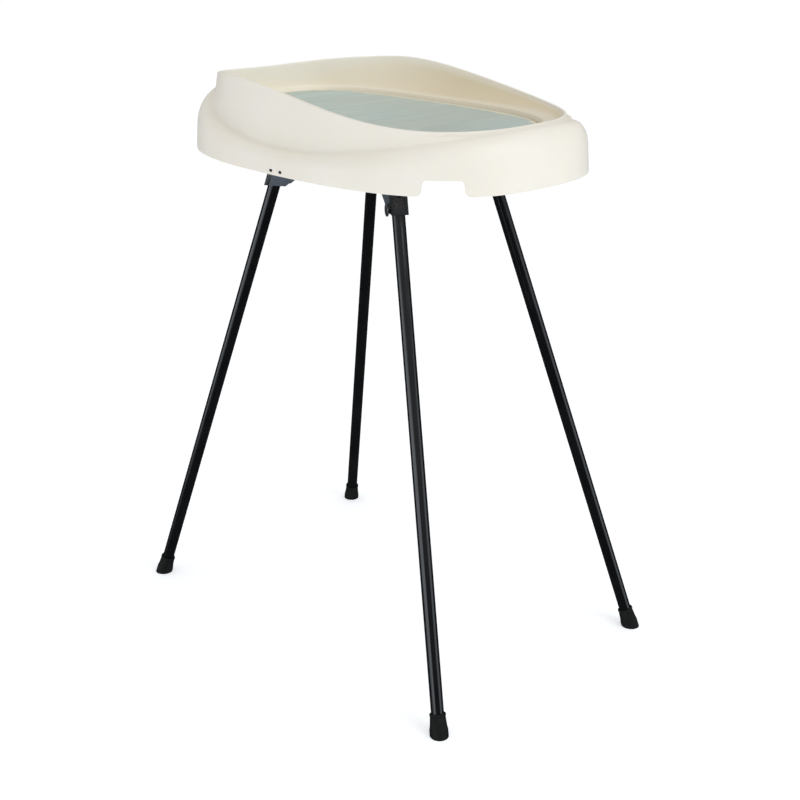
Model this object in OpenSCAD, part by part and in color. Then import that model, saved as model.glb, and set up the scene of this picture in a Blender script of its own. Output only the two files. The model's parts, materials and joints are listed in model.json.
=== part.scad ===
// Folding changing table: an oval moulded tray with a padded mat, carried on four splayed tube legs.
// Millimetres, +Z up. The origin lies on the floor, midway between the four feet.
// +X is the open, low end of the tray. -X is the high head end. +Y is the left side.

/* [Tray] */
// Half length of the skirt's lower edge
skirt_half_l = 380; // [340:1:420]
// Half width of the skirt's lower edge
skirt_half_w = 250; // [235:1:280]
// Height of the skirt's lower edge above the floor
skirt_z = 881; // [880:1:883]
// Height of the rim at the head corners
rim_head_z = 1026; // [1005:1:1040]
// Height of the rim at the open end
rim_open_z = 976; // [974:1:985]
// How far the rim dips at the middle of the head end
rim_dip = 19; // [0:1:30]
// Half width of the rim
rim_half_w = 215; // [208:1:220]
// Thickness of the moulded wall
wall = 3; // [2.5:0.1:3.5]

/* [Mat] */
// Half length of the mat
mat_half_l = 305; // [290:1:315]
// Half width of the mat
mat_half_w = 152; // [140:1:155]
// Height of the mat's top above the floor
mat_top_z = 957; // [954:1:958]

/* [Legs] */
// Distance of each foot's centre from the middle, along the table
foot_x = 402; // [395:1:410]
// Distance of each foot's centre from the middle, across the table
foot_y = 258; // [252:1:265]
// Lean of each open leg from upright, in degrees
splay = 18.6; // [18:0.1:19.2]
// Direction in which each leg leans out, from the long axis, in degrees
spread = 30; // [29:0.5:31]
// Outside diameter of the leg tube
tube_d = 22; // [22:1:22]
// Wall of the leg tube
tube_wall = 1.2; // [1:0.1:1.5]
// Height of the pivots of the legs that fold away below the skirt
low_pivot_z = 868; // [866:1:868]
// Height of the pivots of the legs that fold away through the notches
high_pivot_z = 893; // [893:1:895]

/* [Locks] */
// Height of the release buttons
button_z = 829; // [826:1:830]
// Diameter of the button's cap
button_d = 22; // [18:1:22]
// Travel of the button
button_travel = 3; // [2.5:0.1:3]

/* [Hidden] */

ivory = "#f2ead9";
sage = "#b4c9c0";
black = "#1c1d1f";
slate = "#3b434b";
steel = "#b8bcc0";
rubber = "#151515";
foam = "#e8e4c8";
eps = 0.01;

// Each corner: name, side along X, side along Y, pivot height
corners = [
    ["rear_right", -1, -1, low_pivot_z],
    ["rear_left", -1, 1, high_pivot_z],
    ["front_right", 1, -1, high_pivot_z],
    ["front_left", 1, 1, low_pivot_z]
];

// ---------- Tray outline ----------

// Exponents of the ovals: 2 is an ellipse, and larger is squarer
skirt_oval = 2.64;
rim_oval_open = 2.72;
rim_oval_head = 2.67;
mat_oval = 2.92;
mat_oval_head = 3.5;
rim_half_open = 339;
rim_half_head = 332;
// Where the rim starts to rise towards the head, and over what length
rim_rise_x = 290;
rim_rise_run = 470;
// The same for the dip at the head end
rim_dip_x = -100;
rim_dip_run = 150;
mat_shift = -3;

// Shoulder: the line where the raised wall meets the broad outer edge
shoulder_low_z = 920;
shoulder_open_z = 972;
shoulder_head_z = 990;
shoulder_low_x = 25;
shoulder_out = 7;
shoulder_open_bend = 1.5;
shoulder_head_bend = 2.3;

floor_t = 3;
mat_recess = 17;
floor_z = mat_top_z - mat_recess;
ledge_z = mat_top_z + 5;
lip_r = 3.5;

// Notches in the skirt, through which the high legs fold out
notch_dir = [-28.5, 151.5];
notch_h = 25;
notch_half = 31;
notch_top_r = 6;
notch_mouth_r = 9;
notch_draft = 1.5;
notch_half_angle = 8.5;
notch_steps = 16;
plain_steps = 36;

function oval(a, along, across, n) =
    pow(pow(abs(cos(a)) / along, n) + pow(abs(sin(a)) / across, n), -1 / n);
function ease(s) = let (t = min(max(s, 0), 1)) t * t * (3 - 2 * t);

function skirt_r(a) = oval(a, skirt_half_l, skirt_half_w, skirt_oval);
function rim_r(a) = cos(a) > 0
    ? oval(a, rim_half_open, rim_half_w, rim_oval_open)
    : oval(a, rim_half_head, rim_half_w, rim_oval_head);

// The mat is squarer at the head than at the open end
function mat_oval_at(x) = x < 0 ? mat_oval_head : mat_oval;

// The mat's oval is centred a little towards the head, so its radius about the
// tray's centre is found by a few rounds of substitution
function mat_r(a, extra, r = 250, rounds = 12) = rounds == 0 ? r : let (
    x = r * cos(a) - mat_shift,
    y = r * sin(a),
    n = mat_oval_at(x),
    scale_to = pow(pow(abs(x) / (mat_half_l + extra), n)
        + pow(abs(y) / (mat_half_w + extra), n), -1 / n)
) mat_r(a, extra, r * (1 + scale_to) / 2, rounds - 1);

function rim_z(a) = let (x = rim_r(a) * cos(a), y = rim_r(a) * sin(a))
    rim_open_z + (rim_head_z - rim_open_z) * ease((rim_rise_x - x) / rim_rise_run)
    - rim_dip * (1 - pow(y / rim_half_w, 2)) * ease((rim_dip_x - x) / rim_dip_run);

function shoulder_z(a) = let (x = (rim_r(a) + shoulder_out) * cos(a))
    x > shoulder_low_x
    ? shoulder_low_z + (shoulder_open_z - shoulder_low_z)
        * pow((x - shoulder_low_x) / (rim_half_open + shoulder_out - shoulder_low_x), shoulder_open_bend)
    : shoulder_low_z + (shoulder_head_z - shoulder_low_z)
        * pow((shoulder_low_x - x) / (rim_half_head + shoulder_out + shoulder_low_x), shoulder_head_bend);

function turn_to(a, b) = let (d = (a - b) % 360) d > 180 ? d - 360 : d < -180 ? d + 360 : d;

// How high the notch's edge stands above the skirt's edge, at a distance from its middle:
// a flat top, a rounded corner, a slightly drafted side, and a rounded mouth
function notch_edge(s) = let (
    top_from = notch_half - notch_top_r,
    mouth_from = notch_half + notch_draft,
    mouth_to = mouth_from + notch_mouth_r
)
    s <= top_from ? notch_h
    : s <= notch_half ? notch_h - notch_top_r + sqrt(pow(notch_top_r, 2) - pow(s - top_from, 2))
    : s <= mouth_from ? notch_h - notch_top_r
        - (notch_h - notch_top_r - notch_mouth_r) * (s - notch_half) / notch_draft
    : s < mouth_to ? notch_mouth_r - sqrt(pow(notch_mouth_r, 2) - pow(mouth_to - s, 2))
    : 0;
function notch_rise(a) = max([for (c = notch_dir)
    notch_edge(abs(turn_to(a, c)) * PI / 180 * skirt_r(c))]);

// Profile of the moulding at one direction: [radius, height] from the floor's top,
// up over the rim, down to the skirt's edge, and back under to the floor's underside
cove_steps = 7;
shoulder_steps = 6;
// Shares of the way down the skirt at which its outer face is drawn
skirt_rows = [0, 0.02, 0.07, 0.15, 0.26, 0.4, 0.57, 0.77, 1];

// Radius of the skirt's outer face at one height: a quarter oval above the bend, and a
// slightly flared straight below it
function skirt_face(z, round_r, edge_r, sr, bend_z, drop) = z > bend_z
    ? round_r + (edge_r - round_r) * sqrt(max(0, 1 - pow((z - bend_z) / drop, 2)))
    : edge_r + (sr - edge_r) * (bend_z - z) / (bend_z - skirt_z);

function profile(a) = let (
    rr = rim_r(a), rz = rim_z(a), sr = skirt_r(a), sz = shoulder_z(a),
    foot_r = min(rr + shoulder_out, sr - 9),
    low = skirt_z + notch_rise(a),
    r0 = mat_r(a, 3), ledge_r = mat_r(a, 12),
    top_r = rr - 2 * lip_r, top_z = rz - lip_r,
    drop = (sz - skirt_z) * 0.5,
    round_r = foot_r + 5,
    edge_r = sr - 3
) concat(
    [[r0, floor_z], [r0 + 1, ledge_z - 3], [r0 + 3, ledge_z - 0.6]],
    [for (i = [0:cove_steps]) let (s = i / cove_steps)
        [ledge_r + (top_r - ledge_r) * (0.5 * s + 0.5 * sin(90 * s)),
         ledge_z + (top_z - ledge_z) * (0.5 * s + 0.5 * (1 - cos(90 * s)))]],
    [for (t = [45:45:180]) [rr - lip_r - lip_r * cos(t), rz - lip_r + lip_r * sin(t)]],
    [[(rr + foot_r) / 2, (rz + sz) / 2], [foot_r, max(sz + 2.5, min(sz + 5, rz - lip_r - 1))]],
    [for (w = skirt_rows) let (z = sz - (sz - low - 0.8) * w)
        [skirt_face(z, round_r, edge_r, sr, sz - drop, drop), z]],
    [[skirt_face(low, round_r, edge_r, sr, sz - drop, drop) - 0.8, low], [sr - wall, low]],
    [for (i = [shoulder_steps:-1:0]) let (t = 90 * i / shoulder_steps)
        [foot_r - wall + (edge_r - foot_r) * sin(t), sz - wall - drop * (1 - cos(t))]],
    [[(rr + foot_r) / 2 - wall, max(sz - wall + 1, (rz + sz) / 2 - wall)],
     [rr - lip_r, max(sz - wall + 2, rz - 2 * lip_r)]],
    [for (i = [cove_steps:-1:1]) let (s = i / cove_steps)
        [min(ledge_r + wall + (top_r - ledge_r) * (0.5 * s + 0.5 * sin(90 * s)), rr - lip_r - 0.3),
         min(ledge_z + (top_z - ledge_z) * (0.5 * s + 0.5 * (1 - cos(90 * s))) - wall,
             max(sz - wall, rz - 2 * lip_r) - 0.3 * (cove_steps + 1 - i))]],
    [[r0 + 2 + wall, ledge_z - wall - 4], [r0 + wall, ledge_z - wall - 8],
     [r0 + wall - 1, floor_z - floor_t]]
);

// Directions round the tray: even steps, and fine steps across the two notches
directions = [for (c = notch_dir) each concat(
    [for (i = [0:notch_steps - 1]) c - notch_half_angle + 2 * notch_half_angle * i / notch_steps],
    [for (i = [0:plain_steps - 1])
        c + notch_half_angle + (180 - 2 * notch_half_angle) * i / plain_steps])];

module tray_shell() {
    n = len(directions);
    sections = [for (a = directions) profile(a)];
    m = len(sections[0]);
    points = [for (j = [0:m - 1]) each [for (i = [0:n - 1])
        [sections[i][j][0] * cos(directions[i]), sections[i][j][0] * sin(directions[i]), sections[i][j][1]]]];
    sides = [for (j = [0:m - 2]) each [for (i = [0:n - 1]) let (k = (i + 1) % n)
        each [[j * n + i, (j + 1) * n + k, (j + 1) * n + i], [j * n + i, j * n + k, (j + 1) * n + k]]]];
    floor_top = [for (i = [n - 1:-1:0]) i];
    floor_under = [for (i = [0:n - 1]) (m - 1) * n + i];
    color(ivory) polyhedron(points, concat([floor_top], sides, [floor_under]));
}

// ---------- Flat pieces under and on the tray's floor ----------

plate_t = 6;
plate_z = floor_z - floor_t - plate_t;
plate_half_l = 290;
plate_half_w = 148;
outline_steps = 96;

module mat_plan(along, across, steps = outline_steps) {
    polygon([for (i = [0:steps - 1]) let (a = 360 * i / steps)
        oval(a, along, across, mat_oval_at(cos(a))) * [cos(a), sin(a)]]);
}

module mounting_plate() {
    color(slate) difference() {
        translate([0, 0, plate_z]) linear_extrude(plate_t)
            mat_plan(plate_half_l, plate_half_w);
        for (c = corners) at_corner(c) screw_places(c)
            translate([0, 0, plate_z - eps]) cylinder(r = screw_r, h = plate_t - 0.5, $fn = 24);
    }
}

cover_t = 0.8;
mat_gap = 0.2;

module mat_solid(inset) {
    translate([mat_shift, 0, floor_z + mat_gap + inset])
        linear_extrude(mat_recess - mat_gap - 2 * inset)
            mat_plan(mat_half_l - inset, mat_half_w - inset);
}

module mat_cover() {
    color(sage) difference() {
        mat_solid(0);
        mat_solid(cover_t);
    }
}

module mat_core() {
    color(foam) mat_solid(cover_t);
}

// ---------- Corner frame ----------
// At each corner the pivot is the local origin: +X leans out, and +Y is the hinge axis

function corner_dir(c) = atan2(c[2] * sin(spread), c[1] * cos(spread));
function pivot_at(c) = let (reach = c[3] * tan(splay), a = corner_dir(c))
    [c[1] * foot_x - reach * cos(a), c[2] * foot_y - reach * sin(a), c[3]];

// Turned to the corner's direction, above the pivot, with heights still from the floor
module at_corner(c) {
    p = pivot_at(c);
    translate([p[0], p[1], 0]) rotate([0, 0, corner_dir(c)]) children();
}

// Along the open leg: the pivot at the origin, and -Z runs down the tube
module along_leg(c) {
    p = pivot_at(c);
    translate(p) rotate([0, 0, corner_dir(c)]) rotate([0, -splay, 0]) children();
}

module across(r, from_y, to_y, facets = 48) {
    translate([0, from_y, 0]) rotate([-90, 0, 0]) cylinder(r = r, h = to_y - from_y, $fn = facets);
}

// ---------- Bracket ----------

tube_r = tube_d / 2;
cheek_in = tube_r + 0.8;
cheek_t = 2.4;
cheek_out = cheek_in + cheek_t;
web_in = tube_r + 0.5;
web_t = 2.6;
flange_t = 4;
flange_w = 60;
bracket_foot_z = 820;
pin_r = 4;
plunger_r = 4;
plunger_gap = 0.06;
screw_r = 2.5;

// Offset of the leg's centre line from the pivot, at one height
function lean_at(c, z) = (c[3] - z) * tan(splay);
function button_drop(c) = (c[3] - button_z) / cos(splay);

// Side view of a cheek, with a sloped lower edge that leads inwards
module cheek_plan(c) {
    web_x = (web_in + web_t) / cos(splay);
    foot = lean_at(c, bracket_foot_z);
    top = lean_at(c, plate_z);
    bend = lean_at(c, button_z + 20);
    polygon([
        [foot + web_x, bracket_foot_z], [top + web_x, plate_z], [top - 62, plate_z],
        [min(bend - 44, top - 40), button_z + 20], [foot - 34, bracket_foot_z + 12],
        [foot - 18, bracket_foot_z]
    ]);
}

module web_plan(c) {
    near = web_in / cos(splay);
    far = (web_in + web_t) / cos(splay);
    foot = lean_at(c, bracket_foot_z);
    top = lean_at(c, plate_z);
    polygon([[foot + near, bracket_foot_z], [foot + far, bracket_foot_z], [top + far, plate_z], [top + near, plate_z]]);
}

module upright(width, from_y) {
    translate([0, from_y + width, 0]) rotate([90, 0, 0]) linear_extrude(width) children();
}

function flange_span(c) = let (top = lean_at(c, plate_z)) [top - 62, top + 20];

module screw_places(c) {
    span = flange_span(c);
    for (x = [span[0] + 8, span[1] - 8], y = [-1, 1])
        translate([x, y * (flange_w / 2 - 6), 0]) children();
}

module bracket(c) {
    span = flange_span(c);
    color(black) difference() {
        union() {
            for (y = [-cheek_out, cheek_in]) upright(cheek_t, y) cheek_plan(c);
            upright(2 * cheek_out, -cheek_out) web_plan(c);
            translate([span[0], -flange_w / 2, plate_z - flange_t])
                cube([span[1] - span[0], flange_w, flange_t]);
        }
        translate([0, 0, c[3]]) across(pin_r, -cheek_out - 1, cheek_out + 1);
        translate([lean_at(c, button_z), 0, button_z])
            across(plunger_r + plunger_gap, -cheek_out - 1, -cheek_in + 1);
        screw_places(c) translate([0, 0, plate_z - flange_t - 1])
            cylinder(r = screw_r, h = flange_t + 2, $fn = 24);
    }
}

module screw() {
    head_h = 2.6;
    translate([0, 0, plate_z - flange_t]) {
        cylinder(r = screw_r, h = flange_t + plate_t - 1, $fn = 24);
        translate([0, 0, -head_h]) difference() {
            cylinder(r = 4.6, h = head_h, $fn = 24);
            translate([0, 0, -eps]) cylinder(r = 1.7, h = 1.6, $fn = 6);
        }
    }
}

module bracket_screws() {
    color(steel) for (c = corners) at_corner(c) screw_places(c) screw();
}

// ---------- Pivot pin ----------

module pivot_pin(c) {
    head_r = 6.5;
    head_h = 1.6;
    color(steel) at_corner(c) translate([0, 0, c[3]]) {
        across(pin_r, -cheek_out, cheek_out);
        across(head_r, -cheek_out - head_h, -cheek_out);
        across(head_r, cheek_out, cheek_out + head_h);
    }
}

// ---------- Leg ----------

knuckle_len = 16;
plug_len = 16;
leg_end_gap = 9;
pin_clearance = 0.05;
hole_r = 4.5;
latch_r = 4.4;

function leg_length(c) = c[3] / cos(splay);

module knuckle(c) {
    color(black) along_leg(c) difference() {
        union() {
            intersection() {
                translate([0, 0, -knuckle_len]) cylinder(r = tube_r, h = knuckle_len + tube_r, $fn = 48);
                union() {
                    across(tube_r, -tube_r, tube_r);
                    translate([-tube_r, -tube_r, -knuckle_len]) cube([2 * tube_r, 2 * tube_r, knuckle_len]);
                }
            }
            translate([0, 0, -knuckle_len - plug_len])
                cylinder(r = tube_r - tube_wall, h = plug_len + eps, $fn = 48);
        }
        across(pin_r + pin_clearance, -tube_r - 1, tube_r + 1);
    }
}

module tube(c) {
    length = leg_length(c) - knuckle_len - leg_end_gap;
    color(black) along_leg(c) difference() {
        translate([0, 0, -knuckle_len - length]) difference() {
            cylinder(r = tube_r, h = length, $fn = 48);
            translate([0, 0, -1]) cylinder(r = tube_r - tube_wall, h = length + 2, $fn = 48);
        }
        translate([0, 0, -button_drop(c)]) across(hole_r, -tube_r - 1, -tube_r + 4);
    }
}

// Sprung latch pin inside the tube, drawn pushed back level with the tube's wall
module latch_pin(c) {
    bore_r = tube_r - tube_wall;
    color(steel) along_leg(c) translate([0, 0, -button_drop(c)]) {
        across(latch_r, -tube_r + 0.4, bore_r - 3);
        intersection() {
            across(5.6, -bore_r + 1.8, -bore_r + 3.4);
            translate([0, 0, -10]) cylinder(r = bore_r - 0.05, h = 20, $fn = 48);
        }
    }
}

foot_h = 38;
foot_top_r = 13.5;
foot_low_r = 16;

module foot(c) {
    below = 8;
    color(rubber) intersection() {
        along_leg(c) translate([0, 0, -leg_length(c)]) rotate_extrude($fn = 48) polygon([
            [0, -below], [foot_low_r, -below], [foot_low_r, 10], [foot_low_r - 1, 14],
            [foot_top_r, foot_h - 4], [foot_top_r + 0.6, foot_h - 2.5], [foot_top_r, foot_h],
            [tube_r, foot_h], [tube_r, leg_end_gap], [0, leg_end_gap]
        ]);
        translate([-500, -400, 0]) cube([1000, 800, 80]);
    }
}

// ---------- Release button ----------

cap_top = 6.6;
cap_wall = 1.2;
plunger_in = 0.5;

module at_button(c) {
    along_leg(c) translate([0, 0, -button_drop(c)]) children();
}

module button(c) {
    outer = -cheek_out - cap_top;
    rim = -cheek_out - button_travel - 0.4;
    cap_r = button_d / 2;
    color(black) at_button(c) {
        across(plunger_r, outer + cap_wall, -cheek_out + plunger_in);
        translate([0, rim, 0]) rotate([90, 0, 0]) rotate_extrude($fn = 48) polygon([
            [cap_r - cap_wall, 0], [cap_r, 0], [cap_r, rim - outer - 1.2], [cap_r - 1.2, rim - outer],
            [0, rim - outer], [0, rim - outer - cap_wall], [cap_r - cap_wall, rim - outer - cap_wall]
        ]);
    }
}

// Cone spring under the cap, drawn at its pressed length
module button_spring(c) {
    wire_r = 0.35;
    turns = 2.5;
    per_turn = 14;
    sides = 6;
    small_r = 4.9;
    large_r = 7.3;
    height = cap_top - cap_wall - button_travel - 2 * wire_r - 0.2;
    steps = turns * per_turn;
    rings = [for (i = [0:steps]) let (s = i / steps, a = 360 * turns * s, r = large_r + (small_r - large_r) * s)
        [for (k = [0:sides - 1]) let (b = 360 * k / sides, q = r + wire_r * cos(b))
            [q * cos(a), q * sin(a), height * s + wire_r * sin(b)]]];
    skin = [for (i = [0:steps - 1]) each [for (k = [0:sides - 1]) let (l = (k + 1) % sides)
        each [[i * sides + k, i * sides + l, (i + 1) * sides + l],
              [i * sides + k, (i + 1) * sides + l, (i + 1) * sides + k]]]];
    start = [for (k = [sides - 1:-1:0]) k];
    end = [for (k = [0:sides - 1]) steps * sides + k];
    color(steel) at_button(c) translate([0, -cheek_out - wire_r - 0.1, 0]) rotate([90, 0, 0])
        polyhedron([for (r = rings) each r], concat([start], skin, [end]));
}

// ---------- Assembly ----------

tray_shell();
mounting_plate();
mat_cover();
mat_core();
bracket_screws();
for (c = corners) {
    at_corner(c) bracket(c);
    pivot_pin(c);
    knuckle(c);
    tube(c);
    latch_pin(c);
    foot(c);
    button(c);
    button_spring(c);
}
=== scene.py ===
"""Looks of the folding changing table: moulded tray, padded mat, fold brackets, tube legs and feet.

Metres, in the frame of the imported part: +Z up, the floor at 0, +X towards the tray's open low end.
"""
import json
import math

import bmesh
import bpy
from mathutils import Matrix, Vector


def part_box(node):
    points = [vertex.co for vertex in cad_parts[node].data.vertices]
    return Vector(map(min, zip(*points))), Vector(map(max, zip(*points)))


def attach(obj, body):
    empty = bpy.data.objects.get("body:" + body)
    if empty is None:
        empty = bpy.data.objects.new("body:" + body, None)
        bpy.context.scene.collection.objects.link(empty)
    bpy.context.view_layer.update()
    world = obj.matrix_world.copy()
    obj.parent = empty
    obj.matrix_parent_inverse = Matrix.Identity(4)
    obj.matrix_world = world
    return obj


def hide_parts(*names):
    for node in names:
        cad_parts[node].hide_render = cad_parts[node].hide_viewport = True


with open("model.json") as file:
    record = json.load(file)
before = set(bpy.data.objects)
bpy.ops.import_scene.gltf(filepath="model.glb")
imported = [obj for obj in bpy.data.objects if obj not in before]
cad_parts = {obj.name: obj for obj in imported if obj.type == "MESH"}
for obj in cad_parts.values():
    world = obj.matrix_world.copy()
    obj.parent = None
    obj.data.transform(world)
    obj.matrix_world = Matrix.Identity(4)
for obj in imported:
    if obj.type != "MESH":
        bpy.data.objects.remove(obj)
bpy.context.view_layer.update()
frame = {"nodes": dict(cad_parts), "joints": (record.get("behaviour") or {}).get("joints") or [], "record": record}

# ---------- The design's own sizes ----------

SKIRT_HALF = (0.380, 0.250)
SKIRT_OVAL = 2.64
SKIRT_Z = 0.881
RIM_OPEN, RIM_HEAD, RIM_SIDE = 0.339, 0.332, 0.215
RIM_OVAL_OPEN, RIM_OVAL_HEAD = 2.72, 2.67
RIM_OPEN_Z, RIM_HEAD_Z, RIM_DIP = 0.9733, 1.0225, 0.017
RIM_RISE, RIM_DIP_RISE = (0.290, 0.470), (0.100, 0.150)
SHOULDER_LOW_Z, SHOULDER_OPEN_Z, SHOULDER_HEAD_Z = 0.920, 0.972, 0.990
SHOULDER_LOW_X, SHOULDER_OUT = 0.025, 0.007
SHOULDER_OPEN_BEND, SHOULDER_HEAD_BEND = 1.5, 2.3
SHOULDER_ROUND, RIM_TO_SKIRT = 0.005, 0.009
SKIRT_FLARE = 0.003
WALL = 0.003
LIP = 0.0035
MAT_OVAL, MAT_OVAL_HEAD = 2.92, 3.5
MAT_GAP, LEDGE_OUT, LEDGE_BEAD = 0.0015, 0.012, 0.0012
SPLAY = math.radians(18.6)
TUBE_R = 0.011
CHEEK_IN, CHEEK_OUT = 0.0118, 0.0142
BUTTON_Z = 0.829
NOTCH_AT = (-28.5, 151.5)
NOTCH_RISE, NOTCH_HALF, NOTCH_DRAFT = 0.025, 0.031, 0.0015
NOTCH_TOP_R, NOTCH_MOUTH_R = 0.006, 0.009

mat_low, mat_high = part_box("mat_cover")
FLOOR_Z = mat_low[2] - 0.0002
MAT_TOP_Z = mat_high[2]
MAT_HALF = ((mat_high[0] - mat_low[0]) / 2, (mat_high[1] - mat_low[1]) / 2)
MAT_X = (mat_high[0] + mat_low[0]) / 2
LEDGE_Z = MAT_TOP_Z + 0.005

SAME = 0.00001
joints = {joint["name"]: joint for joint in frame["joints"]}
CORNERS = ("rear_right", "rear_left", "front_right", "front_left")


# ---------- Working by hand: small helpers round the operators ----------

def nothing_selected():
    if bpy.context.object and bpy.context.object.mode != "OBJECT":
        bpy.ops.object.mode_set(mode="OBJECT")
    bpy.ops.object.select_all(action="DESELECT")


def only(piece):
    nothing_selected()
    piece.select_set(True)
    bpy.context.view_layer.objects.active = piece


def named(name):
    piece = bpy.context.object
    piece.name = piece.data.name = name
    return piece


def settle(piece):
    """Puts the piece's place into its mesh, so that its object sits at the origin."""
    only(piece)
    bpy.ops.object.transform_apply(location=True, rotation=True, scale=True)


def apply(piece, kind, **settings):
    """Adds one modifier and applies it."""
    only(piece)
    modifier = piece.modifiers.new(kind.title(), kind)
    for key, value in settings.items():
        setattr(modifier, key, value)
    bpy.ops.object.modifier_apply(modifier=modifier.name)


def smooth(piece, degrees):
    only(piece)
    bpy.ops.object.shade_smooth_by_angle(angle=math.radians(degrees))


def pick_edges(mesh, test):
    """In edit mode, selects only the edges that pass the test."""
    bpy.ops.mesh.select_all(action="DESELECT")
    for edge in mesh.edges:
        edge.select_set(bool(test(edge)))


def joined(name, *pieces):
    nothing_selected()
    for piece in pieces:
        piece.select_set(True)
    bpy.context.view_layer.objects.active = pieces[0]
    bpy.ops.object.join()
    return named(name)


def copy_of(piece, name):
    only(piece)
    bpy.ops.object.duplicate(linked=False)
    return named(name)


def turned(profile, name, steps):
    """Spins a half profile of (radius, height) points round Z into a closed turned piece."""
    bpy.ops.mesh.primitive_plane_add(size=0.01, location=(0, 0, 0))
    piece = named(name)
    bpy.ops.object.mode_set(mode="EDIT")
    bpy.ops.mesh.select_mode(type="VERT")
    bpy.ops.mesh.select_all(action="SELECT")
    bpy.ops.mesh.merge(type="CENTER")
    bpy.ops.transform.translate(value=(profile[0][0], 0, profile[0][1]))
    for (r, z), (next_r, next_z) in zip(profile, profile[1:]):
        bpy.ops.mesh.extrude_region_move(TRANSFORM_OT_translate={"value": (next_r - r, 0, next_z - z)})
    bpy.ops.mesh.select_all(action="SELECT")
    bpy.ops.mesh.spin(steps=steps, angle=math.tau, center=(0, 0, 0), axis=(0, 0, 1))
    bpy.ops.mesh.select_all(action="SELECT")
    bpy.ops.mesh.remove_doubles(threshold=0.000005)
    bpy.ops.mesh.normals_make_consistent(inside=False)
    bpy.ops.object.mode_set(mode="OBJECT")
    return piece


def rounded(points):
    """Cuts the corners of an open line of points twice, keeping its two ends."""
    for _ in range(2):
        cut = [points[0]]
        for a, b in zip(points, points[1:]):
            cut.append(tuple(0.75 * p + 0.25 * q for p, q in zip(a, b)))
            cut.append(tuple(0.25 * p + 0.75 * q for p, q in zip(a, b)))
        cut.append(points[-1])
        points = cut
    return points


# ---------- Shader maths ----------

class Value:
    """A number in a material. Arithmetic on it adds Math nodes."""

    def __init__(self, finish, socket):
        self.finish, self.socket = finish, socket

    def _do(self, operation, a, b):
        return self.finish.node("ShaderNodeMath", {"operation": operation}, {0: a, 1: b})

    def __add__(self, other):
        return self._do("ADD", self, other)

    def __radd__(self, other):
        return self._do("ADD", other, self)

    def __sub__(self, other):
        return self._do("SUBTRACT", self, other)

    def __rsub__(self, other):
        return self._do("SUBTRACT", other, self)

    def __mul__(self, other):
        return self._do("MULTIPLY", self, other)

    def __rmul__(self, other):
        return self._do("MULTIPLY", other, self)


class Finish:
    """One material, built on the Principled shader, with patterns on Object coordinates."""

    def __init__(self, name):
        self.material = bpy.data.materials.new(name)
        self.material.use_nodes = True
        self.tree = self.material.node_tree
        self.shader = self.tree.nodes["Principled BSDF"]
        self.place = self.node("ShaderNodeTexCoord", output="Object")

    def node(self, kind, settings=None, inputs=None, output=0):
        made = self.tree.nodes.new(kind)
        for key, value in (settings or {}).items():
            setattr(made, key, value)
        for key, value in (inputs or {}).items():
            self.feed(made.inputs[key], value)
        return Value(self, made.outputs[output])

    def feed(self, socket, value):
        if isinstance(value, Value):
            self.tree.links.new(value.socket, socket)
        else:
            socket.default_value = value

    def stretched(self, along, across, up):
        return self.node("ShaderNodeMapping", {"vector_type": "POINT"},
                         {"Vector": self.place, "Scale": (along, across, up)})

    def noise(self, size, detail=3.0, rough=0.5, where=None):
        """Noise whose lumps are about one size across, in metres."""
        return self.node("ShaderNodeTexNoise", None, {
            "Vector": where or self.place, "Scale": 1 / size, "Detail": detail, "Roughness": rough})

    def ramp(self, value, low, high):
        return self.node("ShaderNodeMapRange", {"interpolation_type": "SMOOTHSTEP"},
                         {"Value": value, "From Min": low, "From Max": high})

    def blend(self, factor, first, second):
        return self.node("ShaderNodeMix", {"data_type": "RGBA"}, {0: factor, 6: first, 7: second}, output=2)

    def bump(self, height, distance, strength):
        return self.node("ShaderNodeBump", None, {"Height": height, "Distance": distance, "Strength": strength})

    def set(self, **sockets):
        for key, value in sockets.items():
            self.feed(self.shader.inputs[key.replace("_", " ")], value)
        return self.material


def colour(red, green, blue):
    return (red, green, blue, 1)


def tray_plastic():
    """Ivory moulded plastic: satin, faintly clouded, with a fine spark-eroded grain; inside the tray's hollow it
    carries painted shade in a darker, warmer tan.
    """
    f = Finish("tray_plastic")
    cloud = f.noise(0.16, 2)
    grain = f.noise(0.0011, 2, 0.6)
    flow = f.noise(0.03, 3, 0.55, f.stretched(0.4, 1.0, 1.0))
    skin = f.blend(f.ramp(cloud, 0.35, 0.65), colour(0.866, 0.818, 0.728), colour(0.880, 0.836, 0.754))
    # Painted shade: where the mask is set, inside the tray's hollow, the colour turns a darker, warmer tan,
    # deepest towards the open end (+X). It stands in for the shade and warm bounce light there.
    bowl_painted_shade = f.node("ShaderNodeAttribute", {"attribute_name": "bowl_painted_shade"}, output="Fac")
    along = f.node("ShaderNodeSeparateXYZ", None, {"Vector": f.place})
    inside = f.blend(f.ramp(along, -0.28, 0.06), colour(0.870, 0.790, 0.640), colour(0.715, 0.622, 0.440))
    tone = f.blend(bowl_painted_shade, skin, inside)
    rough = 0.36 + 0.10 * f.ramp(flow, 0.3, 0.7)
    height = grain * 0.55 + flow * 0.45
    f.set(Base_Color=tone, Roughness=rough, Normal=f.bump(height, 0.00006, 0.55), Specular_IOR_Level=0.4)
    return f.set(Subsurface_Weight=0.12, Subsurface_Radius=(0.012, 0.008, 0.004), Subsurface_Scale=0.5,
                 IOR=1.49)


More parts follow.
